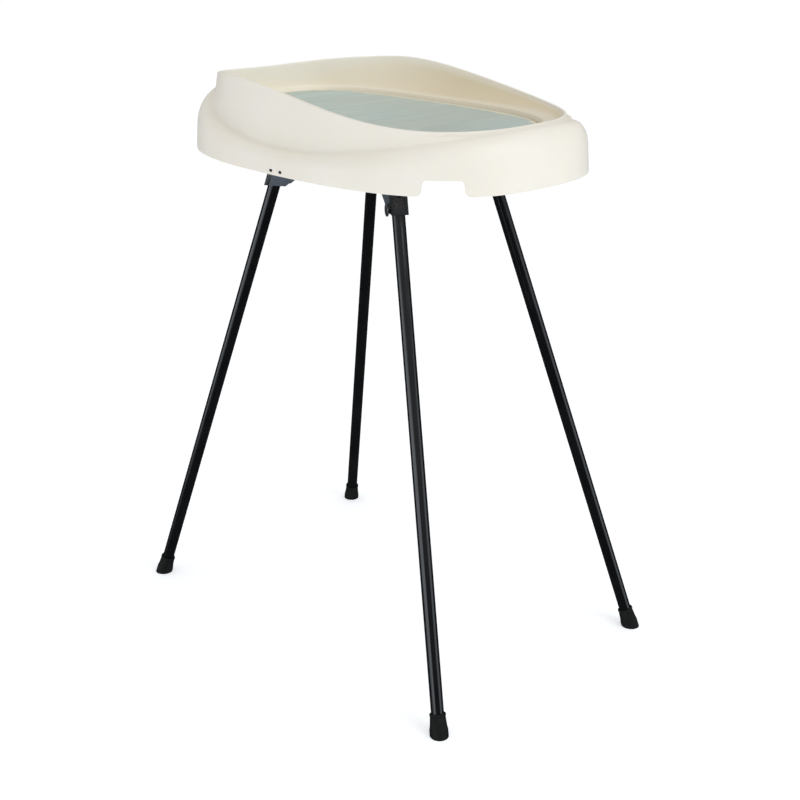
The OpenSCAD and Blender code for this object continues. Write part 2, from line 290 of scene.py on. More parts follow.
def mat_vinyl():
    """Sage vinyl-coated cloth: fine pebble grain over faint lengthwise brush strokes."""
    f = Finish("mat_vinyl")
    strokes = f.noise(0.05, 4, 0.62, f.stretched(2.6, 0.20, 1.0))
    wander = f.noise(0.22, 2, 0.5)
    pebble = f.node("ShaderNodeTexVoronoi", {"feature": "DISTANCE_TO_EDGE"},
                    {"Vector": f.place, "Scale": 1 / 0.0016})
    weave = f.noise(0.0009, 2, 0.5)
    pale = f.blend(f.ramp(wander, 0.35, 0.65), colour(0.500, 0.560, 0.505), colour(0.470, 0.580, 0.560))
    deep = colour(0.430, 0.500, 0.450)
    tone = f.blend(f.ramp(strokes, 0.40, 0.62), deep, pale)
    height = f.ramp(pebble, 0.0, 0.25) * 0.6 + weave * 0.25 + strokes * 0.3
    f.set(Base_Color=tone, Roughness=0.46 + 0.12 * f.ramp(strokes, 0.3, 0.7),
          Normal=f.bump(height, 0.00012, 0.5))
    return f.set(Sheen_Weight=0.12, Sheen_Roughness=0.45)


def black_tube():
    """Black powder coat on steel tube: semi-gloss with a fine orange peel."""
    f = Finish("black_tube")
    peel = f.noise(0.0014, 3, 0.55)
    patch = f.noise(0.05, 3)
    coat = f.blend(f.ramp(patch, 0.3, 0.7), colour(0.0035, 0.0036, 0.0039), colour(0.0055, 0.0056, 0.0061))
    f.set(Base_Color=coat, Roughness=0.13 + 0.07 * f.ramp(patch, 0.35, 0.7), Normal=f.bump(peel, 0.00005, 0.5))
    return f.set(Specular_IOR_Level=0.38)


def bracket_plastic():
    """Glass-filled black plastic with a fine spark grain; its flat cheek faces are rougher and carry a painted
    reflection in a lighter slate blue-grey.
    """
    f = Finish("bracket_plastic")
    grain = f.noise(0.0012, 2, 0.6)
    flow = f.noise(0.018, 3, 0.6)
    flank_grain_and_sheen = f.node("ShaderNodeAttribute", {"attribute_name": "flank_grain_and_sheen"}, output="Fac")
    skin = f.blend(f.ramp(flow, 0.35, 0.7), colour(0.009, 0.010, 0.0115), colour(0.015, 0.017, 0.020))
    # Painted reflection: the flat cheek faces are painted a lighter slate blue-grey, flecked by the grain,
    # standing in for the bright surroundings mirrored in them.
    slate = f.blend(f.ramp(grain, 0.3, 0.7), colour(0.050, 0.066, 0.086), colour(0.088, 0.110, 0.138))
    rough = 0.20 + 0.10 * f.ramp(flow, 0.3, 0.7) + 0.22 * flank_grain_and_sheen
    f.set(Base_Color=f.blend(flank_grain_and_sheen, skin, slate), Roughness=rough, Normal=f.bump(grain, 0.00005, 0.2))
    return f.set(IOR=1.5)


def button_plastic():
    """Smoother slate-black plastic of the release buttons."""
    f = Finish("button_plastic")
    grain = f.noise(0.0012, 2, 0.6)
    f.set(Base_Color=f.blend(f.ramp(grain, 0.3, 0.7), colour(0.030, 0.034, 0.040), colour(0.042, 0.047, 0.054)),
          Roughness=0.26 + 0.08 * grain, Normal=f.bump(grain, 0.00004, 0.4))
    return f.set(Coat_Weight=0.2, Coat_Roughness=0.15)


def foot_rubber():
    """Dull black rubber with a little bloom."""
    f = Finish("foot_rubber")
    bloom = f.noise(0.012, 4, 0.65)
    skin = f.noise(0.0007, 2, 0.6)
    tone = f.blend(f.ramp(bloom, 0.4, 0.75), colour(0.006, 0.006, 0.006), colour(0.014, 0.014, 0.0135))
    f.set(Base_Color=tone, Roughness=0.62 + 0.16 * f.ramp(bloom, 0.3, 0.7),
          Normal=f.bump(skin * 0.6 + bloom * 0.4, 0.0001, 0.5))
    return f.set(Specular_IOR_Level=0.2)


def zinc_steel():
    """Bright zinc-plated steel with fine turning marks."""
    f = Finish("zinc_steel")
    marks = f.noise(0.0006, 2, 0.6, f.stretched(1, 1, 6))
    patch = f.noise(0.006, 3)
    f.set(Base_Color=f.blend(f.ramp(patch, 0.3, 0.7), colour(0.52, 0.53, 0.55), colour(0.66, 0.66, 0.66)),
          Roughness=0.26 + 0.14 * f.ramp(marks, 0.3, 0.7), Metallic=1.0, Normal=f.bump(marks, 0.00003, 0.5))
    return f.material


def plate_plastic():
    """Grey reinforcing plate with a leathery moulding grain."""
    f = Finish("plate_plastic")
    grain = f.noise(0.0022, 3, 0.6)
    cloud = f.noise(0.07, 3)
    f.set(Base_Color=f.blend(f.ramp(cloud, 0.3, 0.7), colour(0.036, 0.039, 0.043), colour(0.050, 0.054, 0.058)),
          Roughness=0.5 + 0.12 * grain, Normal=f.bump(grain, 0.0002, 0.5))
    return f.material


def mat_foam():
    """Open-cell foam inside the mat."""
    f = Finish("mat_foam")
    cells = f.node("ShaderNodeTexVoronoi", None, {"Vector": f.place, "Scale": 1 / 0.0015})
    f.set(Base_Color=f.blend(f.ramp(cells, 0.0, 0.8), colour(0.62, 0.58, 0.42), colour(0.80, 0.77, 0.62)),
          Roughness=0.9, Normal=f.bump(cells, 0.0006, 0.8))
    return f.material


# ---------- The tray ----------

def oval(angle, along, across, power):
    return (abs(math.cos(angle) / along) ** power + abs(math.sin(angle) / across) ** power) ** (-1 / power)


def ease(share):
    share = min(max(share, 0.0), 1.0)
    return share * share * (3 - 2 * share)


def rim_radius(angle):
    if math.cos(angle) > 0:
        return oval(angle, RIM_OPEN, RIM_SIDE, RIM_OVAL_OPEN)
    return oval(angle, RIM_HEAD, RIM_SIDE, RIM_OVAL_HEAD)


def rim_height(angle):
    radius = rim_radius(angle)
    x, y = radius * math.cos(angle), radius * math.sin(angle)
    dip = RIM_DIP * (1 - (y / RIM_SIDE) ** 2) * ease((-x - RIM_DIP_RISE[0]) / RIM_DIP_RISE[1])
    return RIM_OPEN_Z + (RIM_HEAD_Z - RIM_OPEN_Z) * ease((RIM_RISE[0] - x) / RIM_RISE[1]) - dip


def shoulder_height(angle):
    x = (rim_radius(angle) + SHOULDER_OUT) * math.cos(angle) - SHOULDER_LOW_X
    if x > 0:
        share = (x / (RIM_OPEN + SHOULDER_OUT - SHOULDER_LOW_X)) ** SHOULDER_OPEN_BEND
        return SHOULDER_LOW_Z + (SHOULDER_OPEN_Z - SHOULDER_LOW_Z) * share
    share = (-x / (RIM_HEAD + SHOULDER_OUT + SHOULDER_LOW_X)) ** SHOULDER_HEAD_BEND
    return SHOULDER_LOW_Z + (SHOULDER_HEAD_Z - SHOULDER_LOW_Z) * share


def mat_reach(x, y):
    """How far out a point lies in the mat's oval, as a share of the way to its edge."""
    power = MAT_OVAL_HEAD if x < 0 else MAT_OVAL
    return (abs(x) ** power + abs(y) ** power) ** (1 / power)


def mat_radius(angle, extra):
    """Radius of the mat's outline about the tray's middle, found by halving the error."""
    along, across = MAT_HALF[0] + extra, MAT_HALF[1] + extra
    radius = across
    for _ in range(16):
        x, y = radius * math.cos(angle) - MAT_X, radius * math.sin(angle)
        radius *= (1 + 1 / mat_reach(x / along, y / across)) / 2
    return radius


def notch_edge(run):
    """Height of the notch's edge over the skirt's, at a distance from the notch's middle."""
    top_from, mouth_from = NOTCH_HALF - NOTCH_TOP_R, NOTCH_HALF + NOTCH_DRAFT
    mouth_to = mouth_from + NOTCH_MOUTH_R
    side_top = NOTCH_RISE - NOTCH_TOP_R
    if run <= top_from:
        return NOTCH_RISE
    if run <= NOTCH_HALF:
        return side_top + math.sqrt(NOTCH_TOP_R ** 2 - (run - top_from) ** 2)
    if run <= mouth_from:
        return side_top - (side_top - NOTCH_MOUTH_R) * (run - NOTCH_HALF) / NOTCH_DRAFT
    if run < mouth_to:
        return NOTCH_MOUTH_R - math.sqrt(NOTCH_MOUTH_R ** 2 - (mouth_to - run) ** 2)
    return 0.0


def notch_rise(angle):
    rise = 0.0
    for middle in NOTCH_AT:
        off = math.remainder(math.degrees(angle) - middle, 360)
        reach = oval(math.radians(middle), *SKIRT_HALF, SKIRT_OVAL)
        rise = max(rise, notch_edge(abs(math.radians(off)) * reach))
    return rise


def skirt_face(height, round_r, edge_r, skirt_r, shoulder_z):
    """Radius of the skirt's outer face: a quarter oval above its bend, and a slight flare below."""
    bend = (shoulder_z + SKIRT_Z) / 2
    if height > bend:
        share = min((height - bend) / (shoulder_z - bend), 1.0)
        return round_r + (edge_r - round_r) * math.sqrt(1 - share ** 2)
    return edge_r + (skirt_r - edge_r) * (bend - height) / (bend - SKIRT_Z)


BOWL_STEPS = 8
SKIRT_ROWS = (0.004, 0.02, 0.07, 0.15, 0.26, 0.40, 0.57, 0.77, 0.985, 1)


def tray_section(angle):
    """The outer skin at one direction, from inside the mat's recess to the skirt's lower edge."""
    rim_r, rim_z = rim_radius(angle), rim_height(angle)
    skirt_r, shoulder_z = oval(angle, *SKIRT_HALF, SKIRT_OVAL), shoulder_height(angle)
    foot_r = min(rim_r + SHOULDER_OUT, skirt_r - RIM_TO_SKIRT)
    low = SKIRT_Z + notch_rise(angle)
    recess_r, ledge_r = mat_radius(angle, MAT_GAP), mat_radius(angle, LEDGE_OUT)
    top_r, top_z = rim_r - 2 * LIP, rim_z - LIP
    round_r, edge_r = foot_r + SHOULDER_ROUND, skirt_r - SKIRT_FLARE
    points = [(recess_r - 0.012, FLOOR_Z), (recess_r - 0.001, FLOOR_Z), (recess_r, MAT_TOP_Z - 0.004),
              (recess_r + 0.0008, MAT_TOP_Z - 0.001), (recess_r + 0.0050, LEDGE_Z + LEDGE_BEAD),
              (recess_r + 0.0075, LEDGE_Z + LEDGE_BEAD)]
    for step in range(BOWL_STEPS):
        s = step / (BOWL_STEPS - 1)
        points.append((ledge_r + (top_r - ledge_r) * (0.5 * s + 0.5 * math.sin(math.pi / 2 * s)),
                       LEDGE_Z + (top_z - LEDGE_Z) * (0.5 * s + 0.5 * (1 - math.cos(math.pi / 2 * s)))))
    points += [(rim_r - 1.9 * LIP, rim_z - 0.15 * LIP), (rim_r - LIP, rim_z + 0.2 * LIP),
               (rim_r - 0.1 * LIP, rim_z - 0.15 * LIP), (rim_r, top_z - 0.5 * LIP)]
    foot_z = max(shoulder_z + 0.0022, min(shoulder_z + 0.006, rim_z - LIP - 0.002))
    points += [((rim_r + foot_r) / 2, (top_z + foot_z) / 2), (foot_r, foot_z),
               (foot_r + 0.002, shoulder_z + 0.0008)]
    for share in SKIRT_ROWS:
        height = shoulder_z - (shoulder_z - low) * share
        points.append((skirt_face(height, round_r, edge_r, skirt_r, shoulder_z), height))
    return rounded(points)


def tray_directions():
    """Even steps round the oval, with fine steps across the two notches."""
    fine, plain, half = 72, 72, 8.1
    turn = []
    for middle in NOTCH_AT:
        turn += [middle - half + 2 * half * i / fine for i in range(fine)]
        turn += [middle + half + (180 - 2 * half) * i / plain for i in range(plain)]
    return [math.radians(a) for a in turn]


def make_tray():
    directions = tray_directions()
    bpy.ops.mesh.primitive_circle_add(vertices=len(directions), radius=0.2, location=(0, 0, 0))
    tray = named("tray")
    sections = [tray_section(a) for a in directions]
    for vert, angle, section in zip(tray.data.vertices, directions, sections):
        radius, height = section[0]
        vert.co = (radius * math.cos(angle), radius * math.sin(angle), height)
    look_up = {round(math.remainder(a, math.tau), 5): s for a, s in zip(directions, sections)}
    bpy.ops.object.mode_set(mode="EDIT")
    bpy.ops.mesh.select_all(action="SELECT")
    for level in range(1, len(sections[0])):
        bpy.ops.mesh.extrude_region_move()
        mesh = bmesh.from_edit_mesh(tray.data)
        for vert in mesh.verts:
            if vert.select:
                angle = math.atan2(vert.co.y, vert.co.x)
                section = look_up.get(round(angle, 5)) or look_up[
                    min(look_up, key=lambda a: abs(math.remainder(a - angle, math.tau)))]
                radius, height = section[level]
                vert.co = (radius * math.cos(angle), radius * math.sin(angle), height)
        bmesh.update_edit_mesh(tray.data)
    # Marks where the tray's plastic gets its painted shade.
    mark_bowl_shade(tray)
    mesh = bmesh.from_edit_mesh(tray.data)
    pick_edges(mesh, lambda edge: edge.is_boundary and all(
        abs(vert.co.z - FLOOR_Z) < SAME and vert.co.xy.length < SKIRT_HALF[0] for vert in edge.verts))
    for shrink in (0.6, 0.35):
        bpy.ops.mesh.extrude_region_move()
        bpy.ops.transform.resize(value=(shrink, shrink, 1), center_override=(0, 0, FLOOR_Z))
    bpy.ops.mesh.edge_face_add()
    bpy.ops.mesh.select_all(action="SELECT")
    bpy.ops.mesh.normals_make_consistent(inside=False)
    mesh = bmesh.from_edit_mesh(tray.data)
    mesh.faces.ensure_lookup_table()
    middle = min(mesh.faces, key=lambda f: f.calc_center_median().xy.length)
    if middle.normal.z < 0:
        bpy.ops.mesh.flip_normals()
    bpy.ops.object.mode_set(mode="OBJECT")
    apply(tray, "SOLIDIFY", thickness=WALL, offset=-1, use_even_offset=True)
    cut_side_slots(tray)
    smooth(tray, 40)
    return tray


# How the painted shade inside the tray's hollow fades in past the rim's crest and above the ledge, and the share
# of it painted on the ledge and in the recess.
BOWL_SHADE_FADE, LEDGE_SHADE_FADE, LEDGE_SHADE_SHARE = 0.010, 0.004, 0.55


def mark_bowl_shade(tray):
    """Writes the mask of the painted shade: how deep inside the tray's hollow each point of the skin lies, 0 at
    the rim's crest, 1 on the wall.
    """
    bpy.ops.object.mode_set(mode="OBJECT")
    marks = tray.data.attributes.new("bowl_painted_shade", "FLOAT", "POINT")
    for vert, mark in zip(tray.data.vertices, marks.data):
        angle = math.atan2(vert.co.y, vert.co.x)
        crest = rim_radius(angle) - LIP
        over_ledge = vert.co.z - (LEDGE_Z + 0.0008)
        depth = LEDGE_SHADE_SHARE + (1 - LEDGE_SHADE_SHARE) * ease(over_ledge / LEDGE_SHADE_FADE)
        mark.value = ease((crest - vert.co.xy.length) / BOWL_SHADE_FADE) * depth
    bpy.ops.object.mode_set(mode="EDIT")


SLOT_X = (-0.006, 0.018)
SLOT_Z = 0.8875
SLOT_SIZE = (0.0080, 0.0044)


def cut_side_slots(tray):
    """Two short slots through the skirt on each long side."""
    cutters = []
    for side in (-1, 1):
        for x in SLOT_X:
            bpy.ops.mesh.primitive_cube_add(size=1, location=(x, side * SKIRT_HALF[1], SLOT_Z))
            cutter = named("slot_cutter")
            cutter.scale = (SLOT_SIZE[0], 0.020, SLOT_SIZE[1])
            settle(cutter)
            apply(cutter, "BEVEL", width=0.0008, segments=3, limit_method="ANGLE")
            cutters.append(cutter)
    cutter = joined("slot_cutter", *cutters)
    apply(tray, "BOOLEAN", operation="DIFFERENCE", object=cutter, solver="EXACT")
    bpy.data.objects.remove(cutter)


def make_slot_shade_tabs():
    """Dark tabs just inside the slots: a dark sheet put in as painted shade, standing in for the shade inside the
    slots.
    """
    tabs = []
    for side in (-1, 1):
        for x in SLOT_X:
            bpy.ops.mesh.primitive_cube_add(size=1, location=(x, side * (SKIRT_HALF[1] - 0.0022), SLOT_Z))
            tab = named("slot_shade_tab")
            tab.scale = (SLOT_SIZE[0] + 0.001, 0.0012, SLOT_SIZE[1] + 0.001)
            settle(tab)
            apply(tab, "BEVEL", width=0.0002, segments=2)
            tabs.append(tab)
    return joined("slot_shade_tabs", *tabs)


# ---------- The mat ----------

MAT_STEPS, MAT_VOXEL = 144, 0.0055
MAT_SWELL, MAT_CROWN = 0.0018, 0.0014
WELD_IN, WELD_DEEP, WELD_WIDE = 0.012, 0.0011, 0.0032


def mat_outline(inset):
    """The mat's outline about its own centre."""
    points = []
    for step in range(MAT_STEPS):
        angle = math.tau * step / MAT_STEPS
        x, y = math.cos(angle), math.sin(angle)
        reach = mat_reach(x, y)
        points.append((x / reach * (MAT_HALF[0] - inset), y / reach * (MAT_HALF[1] - inset)))
    return points


def make_mat():
    """A foam mat in a vinyl cover: swelled by cloth, with a welded line inside its edge."""
    bpy.ops.mesh.primitive_circle_add(vertices=MAT_STEPS, radius=0.1, fill_type="NGON", location=(0, 0, 0))
    mat = named("mat")
    base, crown = FLOOR_Z + 0.0006, MAT_TOP_Z - 0.0012
    for vert, (x, y) in zip(mat.data.vertices, mat_outline(0.0022)):
        vert.co = (x + MAT_X, y, base)
    bpy.ops.object.mode_set(mode="EDIT")
    bpy.ops.mesh.select_all(action="SELECT")
    bpy.ops.mesh.extrude_region_move(TRANSFORM_OT_translate={"value": (0, 0, crown - base)})
    bpy.ops.mesh.select_all(action="SELECT")
    bpy.ops.mesh.normals_make_consistent(inside=False)
    mesh = bmesh.from_edit_mesh(mat.data)
    pick_edges(mesh, lambda edge: abs(edge.verts[0].co.z - edge.verts[1].co.z) < SAME)
    bpy.ops.mesh.bevel(offset=0.0030, segments=3, affect="EDGES")
    bpy.ops.object.mode_set(mode="OBJECT")
    mat.data.remesh_voxel_size = MAT_VOXEL
    only(mat)
    bpy.ops.object.voxel_remesh()
    start = [v.co.copy() for v in mat.data.vertices]
    swell_cloth(mat, start, base)
    crown_and_weld(mat, base)
    apply(mat, "SUBSURF", levels=1, render_levels=1)
    only(mat)
    bpy.ops.object.shade_smooth()
    return mat


def swell_cloth(mat, start, base):
    """Blows the cover up as cloth for a few frames, and keeps a small part of the swelling."""
    cloth = mat.modifiers.new("Cloth", "CLOTH")
    cloth.settings.quality = 5
    cloth.settings.mass = 0.3
    cloth.settings.tension_stiffness = 20
    cloth.settings.compression_stiffness = 20
    cloth.settings.bending_stiffness = 6
    cloth.settings.use_pressure = True
    cloth.settings.uniform_pressure_force = 4
    cloth.settings.effector_weights.gravity = 0
    cloth.collision_settings.use_collision = False
    scene = bpy.context.scene
    for step in range(1, 15):
        scene.frame_set(step)
    shape = mat.evaluated_get(bpy.context.evaluated_depsgraph_get())
    swelled = [v.co.copy() for v in shape.data.vertices]
    mat.modifiers.remove(cloth)
    scene.frame_set(1)
    for vert, was, now in zip(mat.data.vertices, start, swelled):
        move = now - was
        if move.length > MAT_SWELL:
            move *= MAT_SWELL / move.length
        vert.co = was + move
        vert.co.z = max(vert.co.z, base)


def crown_and_weld(mat, base):
    """Crowns the top a little, and presses in the welded line beside the edge."""
    for vert in mat.data.vertices:
        reach = mat_reach((vert.co.x - MAT_X) / MAT_HALF[0], vert.co.y / MAT_HALF[1])
        if vert.co.z < base + 0.008:
            continue
        vert.co.z += MAT_CROWN * ease((1 - reach) * 2.2)
        line = (1 - reach) * MAT_HALF[1] - WELD_IN
        vert.co.z -= WELD_DEEP * math.exp(-(line / WELD_WIDE) ** 2)


# ---------- Brackets ----------

def corner_frame(name):
    """The joint's own frame: +X leans out, +Y is the hinge axis, and the origin is the pivot."""
    joint = joints["fold_" + name]
    hinge = Vector(joint["axis"]).normalized()
    out = hinge.cross(Vector((0, 0, 1)))
    place = Matrix((out, hinge, (0, 0, 1))).transposed().to_4x4()
    place.translation = Vector(joint["pos_m"])
    return place


def bracket_sheet(name, outline, from_y, to_y):
    """A moulded sheet: its side outline as a face, pushed out to its thickness."""
    bpy.ops.mesh.primitive_circle_add(vertices=len(outline), radius=0.01, fill_type="NGON", location=(0, 0, 0))
    sheet = named(name)
    for vert, (x, z) in zip(sheet.data.vertices, outline):
        vert.co = (x, from_y, z)
    bpy.ops.object.mode_set(mode="EDIT")
    bpy.ops.mesh.select_all(action="SELECT")
    bpy.ops.mesh.extrude_region_move(TRANSFORM_OT_translate={"value": (0, to_y - from_y, 0)})
    bpy.ops.mesh.select_all(action="SELECT")
    bpy.ops.mesh.normals_make_consistent(inside=False)
    bpy.ops.object.mode_set(mode="OBJECT")
    return sheet


BRACKET_FOOT_Z = 0.8225
CORNER_R, SMOOTH_BAND, EDGE_R = 0.006, 0.009, 0.0009
WEB_NEAR, WEB_FAR = 0.0115, 0.0141
FLANGE_T, FLANGE_HALF = 0.004, 0.030
FLANGE_IN, FLANGE_OUT = 0.062, 0.020
PIN_R, PLUNGER_BORE_R, SCREW_BORE_R = 0.004, 0.00406, 0.0025
SCREW_IN_X, SCREW_IN_Y = 0.008, 0.006
DIMPLE_Z, DIMPLE_R, DIMPLE_DEEP = 0.852, 0.0034, 0.0048


def mark_flanks(bracket, far, lean):
    """Parts each cheek behind its smooth outer corner, and marks the flat faces behind that line for a rougher
    grain and a painted blue-grey reflection.
    """
    only(bracket)
    bpy.ops.object.mode_set(mode="EDIT")
    bpy.ops.mesh.select_all(action="SELECT")
    bpy.ops.mesh.bisect(plane_co=(far - SMOOTH_BAND, 0, 0), plane_no=(1, 0, lean))
    bpy.ops.object.mode_set(mode="OBJECT")
    marks = bracket.data.attributes.new("flank_grain_and_sheen", "FLOAT", "FACE")
    for face, mark in zip(bracket.data.polygons, marks.data):
        behind = face.center.x + face.center.z * lean < far - SMOOTH_BAND
        mark.value = 1.0 if behind and abs(face.normal.y) > 0.9 else 0.0


def make_bracket(pivot_z):
    """Flange, outer web and two cheeks, joined into one moulding with rounded edges and bores."""
    plate_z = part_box("mounting_plate")[0][2]
    top, foot, bend = (z - pivot_z for z in (plate_z, BRACKET_FOOT_Z, BUTTON_Z + 0.020))
    lean = math.tan(SPLAY)

    def axis(z):
        return -z * lean

    far, near = WEB_FAR / math.cos(SPLAY), WEB_NEAR / math.cos(SPLAY)
    flange_in, flange_out = axis(top) - FLANGE_IN, axis(top) + FLANGE_OUT
    cheek = [(axis(foot) + far, foot), (axis(top) + far, top), (flange_in, top),
             (min(axis(bend) - 0.047, axis(top) - 0.040), bend), (axis(foot) - 0.039, foot + 0.010),
             (axis(foot) - 0.026, foot)]
    web = [(axis(foot) + near, foot), (axis(foot) + far, foot), (axis(top) + far, top), (axis(top) + near, top)]
    flange = [(flange_in, top - FLANGE_T), (flange_out, top - FLANGE_T), (flange_out, top), (flange_in, top)]
    bracket = bracket_sheet("cheek", cheek, -CHEEK_OUT, -CHEEK_IN)
    sheets = [bracket_sheet("cheek", cheek, CHEEK_IN, CHEEK_OUT),
              bracket_sheet("web", web, -CHEEK_OUT, CHEEK_OUT),
              bracket_sheet("flange", flange, -FLANGE_HALF, FLANGE_HALF)]
    for sheet in sheets:
        apply(bracket, "BOOLEAN", operation="UNION", object=sheet, solver="EXACT")
        bpy.data.objects.remove(sheet)
    only(bracket)
    bpy.ops.object.mode_set(mode="EDIT")
    mesh = bmesh.from_edit_mesh(bracket.data)
    pick_edges(mesh, lambda edge: all(
        abs(abs(vert.co.y) - CHEEK_OUT) < SAME and abs(vert.co.x - axis(vert.co.z) - far) < SAME
        for vert in edge.verts))
    bpy.ops.mesh.bevel(offset=CORNER_R, segments=6, affect="EDGES")
    bpy.ops.object.mode_set(mode="OBJECT")
    bore_bracket(bracket, axis, far, pivot_z, (flange_in + SCREW_IN_X, flange_out - SCREW_IN_X), top)
    apply(bracket, "BEVEL", width=EDGE_R, segments=3, limit_method="ANGLE", angle_limit=math.radians(50))
    mark_flanks(bracket, far, lean)
    smooth(bracket, 35)
    return bracket


def bore_bracket(bracket, axis, far, pivot_z, screws_x, top):
    """Cuts the pin's and the plunger's bores, the four screw holes and the round dimple."""
    button, dimple = BUTTON_Z - pivot_z, DIMPLE_Z - pivot_z
    across, level, upright = (math.pi / 2, 0, 0), (0, math.pi / 2, 0), (0, 0, 0)
    holes = [((0, 0, 0), PIN_R, 0.05, across),
             ((axis(button), -CHEEK_OUT, button), PLUNGER_BORE_R, 0.012, across)]
    for x in screws_x:
        for side in (-1, 1):
            holes.append(((x, side * (FLANGE_HALF - SCREW_IN_Y), top), SCREW_BORE_R, 0.012, upright))
    holes.append(((axis(dimple) + far + DIMPLE_DEEP, 0, dimple), DIMPLE_R, 0.012, level))
    cutters = []
    for at, radius, depth, turn in holes:
        bpy.ops.mesh.primitive_cylinder_add(vertices=40, radius=radius, depth=depth, location=at, rotation=turn)
        cutters.append(named("hole_cutter"))
        settle(cutters[-1])
    cutter = joined("hole_cutter", *cutters)
    apply(bracket, "BOOLEAN", operation="DIFFERENCE", object=cutter, solver="EXACT")
    bpy.data.objects.remove(cutter)


# ---------- Legs ----------

TUBE_WALL, TUBE_TOP, TUBE_LIFT = 0.0012, -0.016, 0.009
LATCH_HOLE_R = 0.0045
BUTTON_R, BUTTON_TOP, BUTTON_RIM, PLUNGER_R = 0.011, 0.0066, 0.0034, 0.004


def leg_frame(name):
    """The open leg's frame: the origin at the pivot, and -Z down the tube."""
    return corner_frame(name) @ Matrix.Rotation(-SPLAY, 4, "Y")


def down_the_leg(pivot_z, to_z):
    """Distance along the open leg from its pivot to a height."""
    return (pivot_z - to_z) / math.cos(SPLAY)


def make_tube(pivot_z):
    """Steel tube with a rolled top edge and the latch hole."""
    top, low, bore = TUBE_TOP, TUBE_LIFT - down_the_leg(pivot_z, 0), TUBE_R - TUBE_WALL
    tube = turned([(bore, low), (TUBE_R - 0.0003, low), (TUBE_R, low + 0.0003), (TUBE_R, top - 0.0005),
                   (TUBE_R - 0.0005, top), (bore, top), (bore, low)], "leg_tube", 72)
    bpy.ops.mesh.primitive_cylinder_add(
        vertices=40, radius=LATCH_HOLE_R, depth=0.008,
        location=(0, -TUBE_R, -down_the_leg(pivot_z, BUTTON_Z)), rotation=(math.pi / 2, 0, 0))
    cutter = named("latch_cutter")
    settle(cutter)
    apply(tube, "BOOLEAN", operation="DIFFERENCE", object=cutter, solver="EXACT")
    bpy.data.objects.remove(cutter)
    smooth(tube, 30)
    return tube


def make_foot():
    """Rubber ferrule: a rolled lip, a tapering sleeve, and a broad tread cut level with the floor."""
    profile = rounded([(TUBE_R + 0.0002, 0.028), (TUBE_R + 0.0002, 0.0365), (TUBE_R + 0.0008, 0.038),
                       (0.0131, 0.038), (0.0141, 0.0365), (0.0141, 0.0345), (0.0133, 0.0328), (0.0134, 0.031),
                       (0.0148, 0.0150), (0.0156, 0.0125), (0.0160, 0.0100), (0.0160, -0.0080)])
    foot = turned([(0.0, 0.028), *profile, (0.0, -0.0080)], "ferrule", 72)
    only(foot)
    bpy.ops.object.mode_set(mode="EDIT")
    bpy.ops.mesh.select_all(action="SELECT")
    bpy.ops.mesh.bisect(plane_co=(0, 0, 0), plane_no=(math.sin(SPLAY), 0, math.cos(SPLAY)),
                        use_fill=True, clear_inner=True)
    bpy.ops.object.mode_set(mode="OBJECT")
    apply(foot, "BEVEL", width=0.0012, segments=3, limit_method="ANGLE", angle_limit=math.radians(45))
    smooth(foot, 40)
    return foot


def make_button():
    """Release button: a dished cap with a rolled edge, on a short plunger."""
    outer, rim, back = CHEEK_OUT + BUTTON_TOP, CHEEK_OUT + BUTTON_RIM, CHEEK_OUT - 0.0005
    profile = [(0.0, outer - 0.0009), (0.0050, outer - 0.0007), (0.0078, outer - 0.0001), (0.0090, outer),
               (0.0101, outer - 0.0003), (BUTTON_R, outer - 0.0012), (BUTTON_R, rim + 0.0003),
               (BUTTON_R - 0.0003, rim), (BUTTON_R - 0.0012, rim), (BUTTON_R - 0.0012, outer - 0.0012),
               (PLUNGER_R, outer - 0.0012), (PLUNGER_R, back + 0.0001), (PLUNGER_R - 0.0002, back), (0.0, back)]
    button = turned(profile, "release_button", 56)
    smooth(button, 40)
    return button


# ---------- Finishes on the pieces ----------

FINISHES = {
    "tray_plastic": tray_plastic(), "mat_vinyl": mat_vinyl(), "black_tube": black_tube(),
    "bracket_plastic": bracket_plastic(), "button_plastic": button_plastic(), "foot_rubber": foot_rubber(),
    "zinc_steel": zinc_steel(), "plate_plastic": plate_plastic(), "mat_foam": mat_foam(),
}


def finish_in(piece, slot):
    piece.data.materials.clear()
    piece.data.materials.append(FINISHES[slot])


def fit(piece, body, slot, *nodes):
    """Gives the piece its finish, and has it ride its body in place of the named nodes."""
    finish_in(piece, slot)
    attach(piece, body)
    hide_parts(*nodes)


for subpart in frame["record"]["subparts"]:
    finish_in(frame["nodes"][subpart["node"]], subpart["material_slot"])

nothing_selected()
fit(make_tray(), "tray", "tray_plastic", "tray_shell")
# The dark tabs in the side slots are painted shade, standing in for the shade inside them.
fit(make_slot_shade_tabs(), "tray", "bracket_plastic")
mat = make_mat()
fit(mat, "tray", "mat_vinyl", "mat_cover")

models = {}


def copied(name, place, make, *sizes):
    """Models a piece the first time its sizes come up, and puts a copy of it in its place."""
    if (make, *sizes) not in models:
        models[(make, *sizes)] = make(*sizes)
    piece = copy_of(models[(make, *sizes)], name)
    piece.data.transform(place)
    return piece


